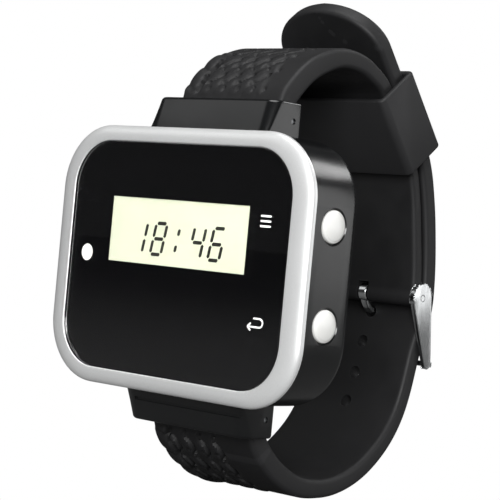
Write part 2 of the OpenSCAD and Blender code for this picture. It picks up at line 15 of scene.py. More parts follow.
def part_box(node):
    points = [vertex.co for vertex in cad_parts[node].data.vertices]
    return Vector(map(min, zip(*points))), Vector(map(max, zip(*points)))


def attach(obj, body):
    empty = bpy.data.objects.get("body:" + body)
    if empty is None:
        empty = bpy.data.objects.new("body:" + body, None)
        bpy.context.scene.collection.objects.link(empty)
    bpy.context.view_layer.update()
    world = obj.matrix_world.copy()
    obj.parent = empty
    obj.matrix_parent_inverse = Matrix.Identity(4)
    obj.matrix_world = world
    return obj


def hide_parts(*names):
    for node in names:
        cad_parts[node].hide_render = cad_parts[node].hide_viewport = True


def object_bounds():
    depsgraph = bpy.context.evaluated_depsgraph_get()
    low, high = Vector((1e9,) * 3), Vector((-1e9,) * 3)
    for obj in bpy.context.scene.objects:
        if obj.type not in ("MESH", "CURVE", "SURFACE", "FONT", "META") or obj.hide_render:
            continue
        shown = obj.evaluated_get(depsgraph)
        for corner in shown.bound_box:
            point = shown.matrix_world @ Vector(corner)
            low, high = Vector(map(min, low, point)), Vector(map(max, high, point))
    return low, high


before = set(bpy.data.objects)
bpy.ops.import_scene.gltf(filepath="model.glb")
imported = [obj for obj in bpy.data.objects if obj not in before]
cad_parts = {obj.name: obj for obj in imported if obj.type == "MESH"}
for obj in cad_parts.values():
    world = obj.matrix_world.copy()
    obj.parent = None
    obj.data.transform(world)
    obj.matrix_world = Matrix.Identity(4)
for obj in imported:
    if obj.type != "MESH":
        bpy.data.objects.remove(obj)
cad_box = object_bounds()

bl_info = {
    "name": "Wrist pager",
    "version": (1, 0, 0),
    "blender": (4, 5, 0),
    "location": "3D View > Sidebar > Wrist Pager",
    "description": "Builds a wrist pager with a moulded rubber band round its CAD frame",
    "category": "Object",
}

MM = 0.001

# Sizes that more than one part keeps to, in millimetres
CASE_R, WINDOW_R, SKIRT_R, COVER_R = 10, 7.4, 8.4, 8.4  # corner radii
JOINT_DEPTH = 1.6  # bezel's front to its joint with the case
CASE_WALL = 1.6
BAND_T, UNDER_T, TAIL_T, BAND_GAP = 3.5, 2.2, 2.9, 0.35
EYE_R, PIN_EYE_R, TIP_LENGTH = 1.9, 1.5, 8.0
BAR_HOLE_R, PIN_R, PIN_HOLE_R = 0.8, 0.6, 0.65
CROSS_R, PLATE_R, PLATE_TIP_R = 0.45, 2.45, 0.85
TONGUE_W, TONGUE_T, TONGUE_SHARE = 1.6, 1.0, 4 / 6
HOLE_R, HOLE_PITCH, HOLES_BELOW, HOLES_ABOVE = 1.05, 5.4, 3, 4
ROUTE_STEPS = 24  # steps from one knot of a route to the next


def linear(hex_colour):
    """An sRGB hex colour as the linear red, green and blue that Blender's shaders use."""
    parts = [int(hex_colour[i:i + 2], 16) / 255 for i in (0, 2, 4)]
    return tuple(c / 12.92 if c <= 0.04045 else ((c + 0.055) / 1.055) ** 2.4 for c in parts)


def box(node):
    """A CAD node's lowest and highest corners, in millimetres."""
    low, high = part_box(node)
    return low / MM, high / MM


# ---------------------------------------------------------------- sizes and colours

def length(name, description, millimetres):
    return FloatProperty(name=name, description=description, default=millimetres * MM, unit="LENGTH",
                         precision=5)


def colour(name, description, hex_colour):
    return FloatVectorProperty(name=name, description=description, default=linear(hex_colour),
                               subtype="COLOR", size=3, min=0, max=1)


class PagerSizes(bpy.types.PropertyGroup):
    lip: length("Window lip", "Width of the flat lip between the window and the bezel's roll", 0.5)
    band_edge: length("Band edge", "Radius of the band's long edges", 0.75)
    tread_depth: length("Tread depth", "Depth of the grooves moulded into the band", 0.8)
    tread_rise: length("Tread rise", "Height of the tread's lobes above the band", 0.5)
    tread_row: length("Tread row", "Distance between rows of the tread, along the band", 4.0)
    tread_column: length("Tread column", "Distance between columns of the tread", 3.15)
    figure_height: length("Figure height", "Height of the figures on the display", 4.8)
    stroke: length("Figure stroke", "Width of a bar of the display's figures", 0.55)


class PagerColours(bpy.types.PropertyGroup):
    bezel: colour("Bezel", "Satin silver paint of the bezel", "e9eaea")
    case: colour("Case", "Black moulded plastic of the rear case", "0f1011")
    band: colour("Band", "Black moulded rubber of the band", "1e1e1f")
    buttons: colour("Buttons", "White moulded plastic of the push buttons", "efefec")
    display: colour("Display", "Resting colour of the liquid crystal display", "ccd0b8")
    figures: colour("Figures", "Switched-on bars of the display", "15160f")
    print_ink: colour("Print", "White print behind the window", "f4f4f2")


def sizes():
    return bpy.context.scene.pager_sizes


def colours():
    return bpy.context.scene.pager_colours


# ---------------------------------------------------------------- materials

def add(tree, kind, settings=None, **links):
    """A new node. Settings are attributes or input values by name; links are sockets or values."""
    new = tree.nodes.new(kind)
    for key, value in (settings or {}).items():
        if key in new.inputs:
            new.inputs[key].default_value = value
        else:
            setattr(new, key, value)
    for key, value in links.items():
        socket = new.inputs[int(key[1:])] if key[1:].isdigit() else new.inputs[key.replace("_", " ")]
        if isinstance(value, bpy.types.NodeSocket):
            tree.links.new(value, socket)
        else:
            socket.default_value = value
    return new


def start(name, **settings):
    """A material with one Principled shader and the object's own coordinates."""
    material = bpy.data.materials.new(name)
    material.use_nodes = True
    tree = material.node_tree
    tree.nodes.clear()
    shader = add(tree, "ShaderNodeBsdfPrincipled", settings)
    out = add(tree, "ShaderNodeOutputMaterial", Surface=shader.outputs[0])
    place = add(tree, "ShaderNodeTexCoord").outputs["Object"]
    return material, tree, shader, out, place


def grain(tree, place, size_mm, detail=2.0, roughness=0.5, stretch=None):
    """Noise whose lumps are size_mm across."""
    if stretch:
        place = add(tree, "ShaderNodeMapping", {"Scale": stretch}, Vector=place).outputs[0]
    return add(tree, "ShaderNodeTexNoise", {"Scale": 1 / (size_mm * MM), "Detail": detail,
                                            "Roughness": roughness}, Vector=place).outputs["Fac"]


def spread(tree, value, low, high, from_low=0.3, from_high=0.7):
    """value, moved from one range to another."""
    return add(tree, "ShaderNodeMapRange", {"From Min": from_low, "From Max": from_high,
                                            "To Min": low, "To Max": high}, Value=value).outputs[0]


def tint(tree, value, dark, light):
    """A colour between two others."""
    ramp = add(tree, "ShaderNodeValToRGB", Fac=value)
    for stop, place, rgb in zip(ramp.color_ramp.elements, (0.3, 0.7), (dark, light)):
        stop.position, stop.color = place, (*rgb, 1)
    return ramp.outputs[0]


def bump(tree, shader, value, depth_mm):
    made = add(tree, "ShaderNodeBump", {"Strength": 1.0, "Distance": depth_mm * MM}, Height=value)
    tree.links.new(made.outputs[0], shader.inputs["Normal"])


def shade(rgb, by):
    return tuple(min(1, c * by) for c in rgb)


def vary(tree, shader, colour_by, dark, light, rough_by=None, low=0.0, high=1.0):
    """Drives the shader's colour, and its roughness if asked, by noise."""
    tree.links.new(tint(tree, colour_by, dark, light), shader.inputs["Base Color"])
    if rough_by:
        tree.links.new(spread(tree, rough_by, low, high), shader.inputs["Roughness"])


def by_ray(tree, ray, usual, special):
    """One shader for most rays, and a special one for a kind of ray."""
    test = add(tree, "ShaderNodeLightPath").outputs[ray]
    return add(tree, "ShaderNodeMixShader", _0=test, _1=usual.outputs[0], _2=special.outputs[0]).outputs[0]


def satin_silver_paint():
    """Silver lacquer sprayed on moulded ABS: fine flakes under a satin clear coat."""
    base = tuple(colours().bezel)
    material, tree, shader, out, place = start(
        "satin silver lacquer on ABS", **{"Metallic": 0.4, "Coat Weight": 0.25, "Coat Roughness": 0.3})
    flakes = grain(tree, place, 0.09, 1)  # flakes of about 0.05 mm, drawn coarser
    clouds = grain(tree, place, 9)
    vary(tree, shader, flakes, shade(base, 0.93), shade(base, 1.03), clouds, 0.34, 0.42)
    bump(tree, shader, flakes, 0.004)
    return material


def clear_window():
    """Hard-coated acrylic window: clear, flat and polished."""
    material, tree, shader, out, place = start(
        "polished acrylic window", **{"Base Color": (1, 1, 1, 1), "IOR": 1.49, "Transmission Weight": 1.0})
    rough = spread(tree, grain(tree, place, 6), 0.012, 0.03)  # faint haze from handling
    tree.links.new(rough, shader.inputs["Roughness"])
    through = add(tree, "ShaderNodeBsdfTransparent", {"Color": (0.95, 0.95, 0.95, 1)})
    tree.links.new(by_ray(tree, "Is Shadow Ray", shader, through), out.inputs["Surface"])
    return material


def black_ink():
    """Black screen-printed ink behind the window: dense and even."""
    material, tree, shader, out, place = start(
        "black screen-print ink", **{"Roughness": 0.5, "Specular IOR Level": 0.04})
    vary(tree, shader, grain(tree, place, 0.4), linear("010102"), linear("040405"))
    return material


def liquid_crystal():
    """Reflective liquid crystal glass: pale grey-green with a soft silk from the rear reflector."""
    base = tuple(colours().display)
    material, tree, shader, out, place = start(
        "liquid crystal glass with silk reflector", **{"Specular IOR Level": 0.3, "Coat Weight": 0.3,
                                                       "Coat Roughness": 0.08})
    silk = grain(tree, place, 0.12, 2)  # the reflector's silk
    broad = grain(tree, place, 14, 1)
    vary(tree, shader, broad, shade(base, 0.95), shade(base, 1.02), silk, 0.3, 0.45)
    bump(tree, shader, silk, 0.002)
    return material


def moulded(name, rgb, roughness, grain_mm, depth_mm, coat=0.0):
    """Moulded plastic or rubber: an even colour, fine mould grain and slow changes of gloss."""
    material, tree, shader, out, place = start(name, **{"Coat Weight": coat, "Coat Roughness": 0.12})
    fine = grain(tree, place, grain_mm, 2)
    slow = grain(tree, place, 7)
    vary(tree, shader, slow, shade(rgb, 0.94), shade(rgb, 1.06), slow, roughness * 0.88, roughness * 1.12)
    bump(tree, shader, fine, depth_mm)
    return material


def band_silicone():
    """Black silicone rubber, moulded matt: a fine eroded grain, and convex edges painted lighter as a painted
    highlight.
    """
    rgb = tuple(colours().band)
    material, tree, shader, out, place = start(
        "moulded silicone rubber", **{"Specular IOR Level": 0.32})
    fine = grain(tree, place, 0.14, 3)  # eroded mould grain of 0.1 mm
    slow = grain(tree, place, 5)
    # Painted highlight: convex edges, found by pointiness, are painted 1.7 times lighter than the rubber.
    convexity = add(tree, "ShaderNodeNewGeometry").outputs["Pointiness"]
    edge = spread(tree, convexity, 0.0, 1.0, 0.505, 0.56)
    body = tint(tree, slow, shade(rgb, 0.9), shade(rgb, 1.1))
    edge_highlight = add(tree, "ShaderNodeMix", {"data_type": "RGBA"}, _0=edge, _6=body, _7=(*shade(rgb, 1.7), 1))
    tree.links.new(edge_highlight.outputs[2], shader.inputs["Base Color"])
    tree.links.new(spread(tree, slow, 0.5, 0.6), shader.inputs["Roughness"])
    bump(tree, shader, fine, 0.006)
    return material


def metal(name, rgb, roughness, grain_mm, stretch=None, depth_mm=0.002, coat=0.0):
    """Metal with the fine lines of how it was turned, rolled or polished."""
    material, tree, shader, out, place = start(name, **{"Metallic": 1.0, "Coat Weight": coat})
    lines = grain(tree, place, grain_mm, 2, stretch=stretch)
    slow = grain(tree, place, 4)
    vary(tree, shader, slow, shade(rgb, 0.93), shade(rgb, 1.04), lines, roughness * 0.8, roughness * 1.25)
    bump(tree, shader, lines, depth_mm)
    return material


def ink(name, rgb):
    """Thin printed or switched-on layer: matt and even, with a trace of uneven edge."""
    material, tree, shader, out, place = start(name, **{"Roughness": 0.55})
    vary(tree, shader, grain(tree, place, 0.3), shade(rgb, 0.96), rgb)
    return material


def finishes():
    """Each material slot's finish."""
    along_x = (0.06, 1, 1)
    return {
        "bezel_silver": satin_silver_paint(),
        "window_clear": clear_window(),
        "window_black": black_ink(),
        "display_grey": liquid_crystal(),
        "holder_white": moulded("moulded white ABS frame", linear("e9e9e3"), 0.5, 0.2, 0.004),
        "zebra_rubber": moulded("striped conductive rubber", linear("84606c"), 0.6, 0.1, 0.01),
        "board_green": moulded("solder mask on glass laminate", linear("1f5c3a"), 0.32, 0.25, 0.008, 0.3),
        "chip_black": moulded("moulded epoxy package", linear("1b1b1d"), 0.55, 0.12, 0.005),
        "shield_tin": metal("tinned steel shield", linear("b9bdc2"), 0.35, 0.3),
        "ferrite": moulded("sintered ferrite", linear("38373c"), 0.6, 0.2, 0.01),
        "copper_wire": metal("enamelled copper winding", linear("c0703a"), 0.3, 0.12, (1, 1, 14), 0.02, 0.4),
        "indicator_white": moulded("milky acrylic light pipe", linear("f2f2ec"), 0.3, 0.3, 0.002, 0.3),
        "battery_foil": metal("aluminium laminate pouch", linear("c2c6ca"), 0.4, 0.8, depth_mm=0.02),
        "foam_pad": moulded("cut foam pad", linear("2b2b2e"), 0.9, 0.35, 0.08),
        "motor_steel": metal("drawn steel can", linear("b4b8bc"), 0.3, 0.2, along_x),
        "weight_metal": metal("sintered tungsten weight", linear("86878a"), 0.45, 0.15),
        "button_white": moulded("polished white ABS", tuple(colours().buttons), 0.22, 0.5, 0.002, 0.35),
        "seal_rubber": moulded("moulded silicone seal", linear("222224"), 0.6, 0.15, 0.006),
        "case_black": moulded("satin black ABS", tuple(colours().case), 0.24, 0.16, 0.002, 0.15),
        "screw_steel": metal("nickel-plated steel", linear("b4b5b8"), 0.28, 0.1),
        "contact_gold": metal("gold plating", linear("dcb565"), 0.2, 0.1),
        "bar_steel": metal("turned stainless steel", linear("8c8e90"), 0.4, 0.08, (14, 1, 1)),
        "band_rubber": band_silicone(),
        "buckle_steel": metal("polished stainless steel", linear("d3d5d6"), 0.16, 0.25, (1, 1, 0.12), 0.0015),
    }


FINISH = {}
NODE_SLOTS = {
    "lens_mask": "window_black", "lcd_glass": "display_grey", "lcd_holder": "holder_white",
    "zebra_strips": "zebra_rubber", "circuit_board": "board_green", "controller_chip": "chip_black",
    "radio_module": "shield_tin", "antenna_core": "ferrite", "antenna_coil": "copper_wire",
    "led_light_pipe": "indicator_white", "indicator_led": "holder_white", "battery": "battery_foil",
    "battery_pad": "foam_pad", "vibration_motor": "motor_steel", "motor_bracket": "shield_tin",
    "motor_shaft": "bar_steel", "motor_weight": "weight_metal", "switch_housings": "chip_black",
    "mode_switch_plunger": "holder_white", "return_switch_plunger": "holder_white",
    "button_seals": "seal_rubber", "case_gasket": "seal_rubber", "cover_screws": "screw_steel",
    "charging_contacts": "contact_gold", "upper_spring_bar": "bar_steel",
    "lower_spring_bar": "bar_steel", "upper_bar_tip_left": "bar_steel",
    "upper_bar_tip_right": "bar_steel", "lower_bar_tip_left": "bar_steel",
    "lower_bar_tip_right": "bar_steel",
}


# ---------------------------------------------------------------- modelling helpers

def tidy(bm, gap=1e-4):
    bmesh.ops.remove_doubles(bm, verts=bm.verts, dist=gap)
    bmesh.ops.recalc_face_normals(bm, faces=bm.faces)


def link(name, data):
    """A new object in the scene."""
    made = bpy.data.objects.new(name, data)
    bpy.context.scene.collection.objects.link(made)
    return made


def piece(bm, name, slot, body, *nodes, smooth=32, finish=None):
    """Writes a mesh in millimetres to a new object that rides on a body and replaces CAD nodes."""
    tidy(bm)
    bmesh.ops.scale(bm, vec=(MM, MM, MM), verts=bm.verts)
    mesh = bpy.data.meshes.new(name)
    bm.to_mesh(mesh)
    bm.free()
    for polygon in mesh.polygons:
        polygon.use_smooth = len(polygon.vertices) <= 8  # wide flat faces stay flat
    mesh.set_sharp_from_angle(angle=radians(smooth))
    made = link(name, mesh)
    mesh.materials.append(finish or FINISH[slot])
    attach(made, body)
    if nodes:
        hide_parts(*nodes)
    return made


def carved(bm, tool, operation="DIFFERENCE"):
    """bm with the tool's solid taken away or joined on. Both are used up."""
    pair = []
    for part in (bm, tool):
        tidy(part)
        mesh = bpy.data.meshes.new("blank")
        part.to_mesh(mesh)
        part.free()
        pair.append(link("blank", mesh))
    cut = pair[0].modifiers.new("cut", "BOOLEAN")
    cut.object, cut.operation, cut.solver = pair[1], operation, "EXACT"
    seen = pair[0].evaluated_get(bpy.context.evaluated_depsgraph_get())
    result = bmesh.new()
    result.from_mesh(seen.to_mesh())
    seen.to_mesh_clear()
    for one in pair:
        mesh = one.data
        bpy.data.objects.remove(one)
        bpy.data.meshes.remove(mesh)
    return result


def rounded(bm, geometry, radius, segments, affect="EDGES"):
    """Rounds edges or corners to a radius."""
    bmesh.ops.bevel(bm, geom=geometry, offset=radius, offset_type="OFFSET", segments=segments, profile=0.5,
                    affect=affect, material=-1)


def outline(bm, w, h, r, y, steps=12, fill=False, x=0.0, z=0.0):
    """A rounded rectangle in X and Z at depth y. Returns its edges."""
    old = set(bm.edges)
    verts = bmesh.ops.create_grid(bm, x_segments=1, y_segments=1, size=0.5)["verts"]
    bmesh.ops.transform(bm, verts=verts, matrix=Matrix.Translation((x, y, z))
                        @ Matrix.Rotation(pi / 2, 4, "X") @ Matrix.Diagonal((w, h, 1, 1)))
    rounded(bm, verts, r, steps, "VERTICES")
    made = [e for e in bm.edges if e not in old]
    if not fill:
        bmesh.ops.delete(bm, geom=list({f for e in made for f in e.link_faces}), context="FACES_ONLY")
    return made


def loft(bm, rings, closed=False, caps=False, steps=12, x=0.0, z=0.0):
    """Skin over outlines, each (width, height, corner radius, depth)."""
    ends = (0, len(rings) - 1) if caps else ()
    loops = [outline(bm, *ring[:3], i, steps=steps, fill=i in ends, x=x, z=z) for i, ring in enumerate(rings)]
    # The outlines are bridged apart and moved to their depths after, as loops in one plane would twist.
    for a, b in zip(loops, loops[1:] + loops[:1] if closed else loops[1:]):
        bmesh.ops.bridge_loops(bm, edges=a + b)
    for loop, ring in zip(loops, rings):
        for vert in {v for e in loop for v in e.verts}:
            vert.co.y = ring[3]


def rod(bm, start_point, end_point, r, sides=40, end_r=None):
    """A round solid between two points."""
    a, b = Vector(start_point), Vector(end_point)
    turn = (b - a).to_track_quat("Z", "Y").to_matrix().to_4x4()
    return bmesh.ops.create_cone(bm, cap_ends=True, segments=sides, radius1=r, radius2=end_r or r,
                                 depth=(b - a).length, matrix=Matrix.Translation((a + b) / 2) @ turn)["verts"]


def lathe(bm, profile, centre, axis, sides=64):
    """Spins a profile of (radius, height) round an axis through centre."""
    turn = Vector((0, 0, 1)).rotation_difference(Vector(axis)).to_matrix().to_4x4()
    place = Matrix.Translation(centre) @ turn
    verts = [bm.verts.new(place @ Vector((r, 0, h))) for r, h in profile]
    edges = [bm.edges.new(pair) for pair in zip(verts, verts[1:])]
    bmesh.ops.spin(bm, geom=verts + edges, cent=centre, axis=axis, dvec=(0, 0, 0), angle=2 * pi,
                   steps=sides, use_merge=True)


def block(bm, low, high):
    """A box between two corners."""
    low, high = Vector(low), Vector(high)
    return bmesh.ops.create_cube(bm, size=1, matrix=Matrix.Translation((low + high) / 2)
                                 @ Matrix.Diagonal((*(high - low), 1)))["verts"]


def only(kind, geometry):
    """The elements of one kind, such as the vertices that an operator made."""
    return [one for one in geometry if isinstance(one, kind)]


def thicken(bm, faces, by):
    """Extrudes faces into a solid."""
    grown = bmesh.ops.extrude_face_region(bm, geom=faces)["geom"]
    bmesh.ops.translate(bm, verts=only(bmesh.types.BMVert, grown), vec=by)


def prism_x(bm, points, x_low, x_high):
    """Extrudes a (y, z) outline along X."""
    verts = [bm.verts.new((x_low, y, z)) for y, z in points]
    thicken(bm, [bm.faces.new(verts)], (x_high - x_low, 0, 0))


def rod_x(bm, x_start, x_end, at, r, sides=40, end_r=None):
    """A round solid along X, through (y, z)."""
    rod(bm, (x_start, *at), (x_end, *at), r, sides, end_r)


def quarter(steps):
    """(share out, share down) round a quarter circle, flat to steep."""
    return [(sin(pi / 2 * i / steps), 1 - cos(pi / 2 * i / steps)) for i in range(steps + 1)]


def rounding(steps):
    """(share in, share down) round a quarter circle, steep to flat, after its first point."""
    return [(1 - cos(pi / 2 * i / steps), sin(pi / 2 * i / steps)) for i in range(1, steps + 1)]


def middle_yz(node):
    """(y, z) of a CAD node's middle."""
    low, high = box(node)
    return Vector(((low.y + high.y) / 2, (low.z + high.z) / 2))


# ---------------------------------------------------------------- the band's route

class Route:
    """A smooth line in Y and Z through knots of (y, z, heading in degrees, thickness)."""

    def __init__(self, knots, per_span=ROUTE_STEPS):
        self.points = []
        for a, b in zip(knots, knots[1:]):
            reach = hypot(b[0] - a[0], b[1] - a[1]) * 0.35
            p = [Vector(a[:2]), Vector(a[:2]) + reach * heading(a[2]),
                 Vector(b[:2]) - reach * heading(b[2]), Vector(b[:2])]
            for i in range(per_span):
                f, g = i / per_span, 1 - i / per_span
                at = g ** 3 * p[0] + 3 * g * g * f * p[1] + 3 * g * f * f * p[2] + f ** 3 * p[3]
                along = g * g * (p[1] - p[0]) + 2 * g * f * (p[2] - p[1]) + f * f * (p[3] - p[2])
                self.points.append((at, along.normalized(), g * a[3] + f * b[3]))
        last = knots[-1]
        self.points.append((Vector(last[:2]), heading(last[2]), last[3]))
        self.marks = [0.0]
        for (a, _, _), (b, _, _) in zip(self.points, self.points[1:]):
            self.marks.append(self.marks[-1] + (b - a).length)
        self.length = self.marks[-1]
        self.knot_marks = self.marks[::per_span]

    def at(self, s):
        """Middle point, direction and thickness at a distance along the line, or straight beyond its ends."""
        inside = min(max(s, 0.0), self.length)
        i = min(bisect_right(self.marks, inside) - 1, len(self.points) - 2)
        f = (inside - self.marks[i]) / (self.marks[i + 1] - self.marks[i])
        (a, da, ta), (b, db, tb) = self.points[i:i + 2]
        along = da.lerp(db, f).normalized()
        return a.lerp(b, f) + (s - inside) * along, along, ta + (tb - ta) * f


def heading(angle):
    return Vector((cos(radians(angle)), sin(radians(angle))))


def beside(knot, out, along, thickness):
    """A knot out from another's wrist side, then along its heading, and headed back."""
    back = heading(knot[2]) * along
    return (knot[0] - out * sin(radians(knot[2])) + back.x, knot[1] + out * cos(radians(knot[2])) + back.y,
            knot[2] + 180, thickness)


def band_routes():
    """The upper and lower halves' routes, the keeper's knot and the buckle's two axes."""
    y0, z0 = middle_yz("upper_spring_bar")
    upper = [(y0 + y, z0 + z, a, t) for y, z, a, t in (
        (0, 0, 80, BAND_T), (1.6, 4.4, 50, BAND_T), (8.2, 9.8, 24, BAND_T - 0.1),
        (14.1, 11.4, 0, BAND_T - 0.4), (20.4, 10.1, -26, BAND_T - 0.7), (24.1, 7.8, -45, UNDER_T + 0.4),
        (28.7, 2.3, -51, UNDER_T + 0.3), (34.1, -7.6, -74, UNDER_T), (35.5, -14.1, -80, UNDER_T),
        (36.9, -25.4, -90, UNDER_T + 0.2))]
    lower = [(y0 + y, -z0 + z, a, t) for y, z, a, t in (
        (0, 0, -80, BAND_T), (2.8, -5.6, -45, BAND_T), (9.8, -10.3, -23, BAND_T - 0.2),
        (16.4, -11.4, 0, TAIL_T + 0.1), (23.2, -10.2, 20, TAIL_T + 0.1), (29.7, -6.4, 40, TAIL_T + 0.1),
        (34, -1.5, 58, TAIL_T))]
    pin = middle_yz("buckle_pin")
    cross = pin + Vector((2.95, -10.9))
    inward = CROSS_R + BAND_GAP + TAIL_T / 2
    lower.append((cross.x - inward * cos(radians(13)), cross.y + inward * sin(radians(13)), 77, TAIL_T - 0.1))
    lower.append(beside(upper[9], PIN_EYE_R + 0.45 + TAIL_T / 2, 0, TAIL_T))
    over = UNDER_T / 2 + BAND_GAP + TAIL_T / 2
    for knot, out, along in ((upper[8], over + 0.7, 0), (upper[7], over + 0.55, 0),
                             (upper[6], over + 0.15, 0), (upper[6], over + 0.1, -20.9)):
        lower.append(beside(knot, out, along, TAIL_T))
    return Route(upper), Route(lower), upper[6], pin, cross


def edge_samples(half, r, pitch):
    """Places across a strip: close together round its two edges, even between."""
    edge = [r * (1 - cos(pi / 2 * i / 5)) for i in range(5)]
    count = max(2, round(2 * (half - r) / pitch))
    middle = [-half + r + 2 * (half - r) * i / count for i in range(count + 1)]
    return [-half + d for d in edge] + middle + [half - d for d in reversed(edge)]


def ribbon(bm, route, half, edge_r, pitch, start_r=0.0, end_r=0.0, tip=0.0, relief=None, outer=1):
    """A closed strip along a route: rounded long edges, round or half-oval ends, and a relief outside."""
    ends = [0.5 - 0.5 * cos(pi * i / 24) for i in range(12)]
    count = round((route.length - 4) / pitch)
    places = [-start_r + (2 + start_r) * 2 * e for e in ends]
    places += [2 + (route.length - 4) * i / count for i in range(count)]
    places += [route.length - 2 + (2 + end_r) * (1 - 2 * e) for e in reversed(ends)]
    places += [route.length + end_r]
    if tip:
        places = [s for s in places if s < route.length - tip]
        places += [route.length - tip + tip * sin(pi / 2 * i / 48) for i in range(49)]
    across = edge_samples(half, edge_r, pitch)
    ring = [(x, 1) for x in across] + [(x, -1) for x in reversed(across)]
    made = bmesh.ops.create_grid(bm, x_segments=len(ring), y_segments=len(places) - 1, size=1)["verts"]
    made.sort(key=lambda v: (round(v.co.y, 6), round(v.co.x, 6)))
    ring.append(ring[0])
    for row, s in enumerate(places):
        middle, along, t = route.at(s)
        out = Vector((-along.y, along.x))
        thick = t / 2
        if s < start_r and start_r:
            round_off = sqrt(max(start_r ** 2 - s * s, 0))
            thick = round_off if s < 0 else max(thick, round_off)
        beyond = s - route.length
        if end_r and beyond > -end_r:
            round_off = sqrt(max(end_r ** 2 - beyond ** 2, 0))
            thick = round_off if beyond > 0 else max(thick, round_off)
        width, slope = 1.0, 0.0
        if tip and beyond > -tip:
            share = min(1 + beyond / tip, 1.0)
            width = sqrt(max(1 - share * share, 0))
            slope = half / tip * share / max(width, 1e-3)
        for column, (x, side) in enumerate(ring):
            depth = min((half - abs(x)) * width / sqrt(1 + slope * slope), edge_r)
            fall = 1 - sqrt(max(1 - (1 - depth / edge_r) ** 2, 0))
            height = (thick - min(edge_r, thick) * fall) * side
            if relief and side == outer:
                height -= outer * relief(s, x * width) * min(1, thick / 1.2)
            at = middle + out * height
            made[row * len(ring) + column].co = (x * width, at.x, at.y)


def hump(x):
    """1 at nought, falling smoothly to nothing by 1."""
    return 0.0 if abs(x) >= 1 else (1 - x * x) ** 2


ROPE_X = -9.3  # middle of the rope of lobes at one edge


def tread(first, last, level, turned):
    """Depth of the tread at a place on the band's outer face, between two distances along it.

    Between the two distances in level, where other parts lie close, nothing stands proud.
    """
    setting = sizes()
    row, column, deep = setting.tread_row / MM, setting.tread_column / MM, setting.tread_depth / MM
    rise = setting.tread_rise / MM

    def depth(s, x):
        fade = min(1, max(0, (s - first) / 0.8), max(0, (last - s) / 2))
        if fade <= 0:
            return 0.0
        up = -s if turned else s
        b = ((up / row) % 1 - 0.5) * row
        cut = proud = 0.0
        lobe = x - ROPE_X
        if abs(lobe) < 2.4:
            phase = ((up + 0.6 * lobe) / row) % 1 - 0.5
            proud = rise * sqrt(max(0, 1 - (phase / 0.48) ** 2) * max(0, 1 - (lobe / 1.7) ** 2))
            arc = lobe - 1.75 + 2.4 * phase * phase
            cut = deep * hump(arc / 0.42) * min(1, max(0, 0.5 - abs(phase)) * 8)
        first_column = -7.0 if turned else -5.4
        index = round((x - first_column) / column)
        if 0 <= index <= 3:
            a = x - first_column - index * column
            strong = 1.25 if index == 3 else 1.0
            if turned:
                groove = hump((a - 0.8 + 0.32 * b * b) / 0.45) * min(1, max(0, 1.95 - abs(b)) * 2)
                notch = hump(hypot(a + 0.5, b + 0.5) / 0.5) * 0.6
                swell = max(0, 1 - ((a + 0.5) ** 2 + b * b) / 3.4)
            else:
                line = b - 0.5 * a - 0.42 * sin(1.9 * a)
                groove = hump(line / (0.45 * strong)) * min(1, max(0, 1.5 - abs(a)) * 3)
                notch = hump(hypot(a, abs(b) - row / 2) / 0.42) * 0.5
                swell = 0.5 - 0.5 * cos(2 * pi * line / row)
            cut = max(cut, deep * strong * max(groove, notch))
            proud = max(proud, 0.4 * rise * swell * min(1, (column / 2 - abs(a)) * 2 + 0.5))
        elif not turned and abs(x - 6.2) < 0.5:
            cut = max(cut, 0.6 * deep * hump(hypot(x - 6.2, abs(b) - row / 2) / 0.5))
        proud *= min(1, max(0, level[0] - s, s - level[1]))
        return (cut - proud * max(0, 1 - 1.5 * cut / deep)) * fade

    return depth


# ---------------------------------------------------------------- operators

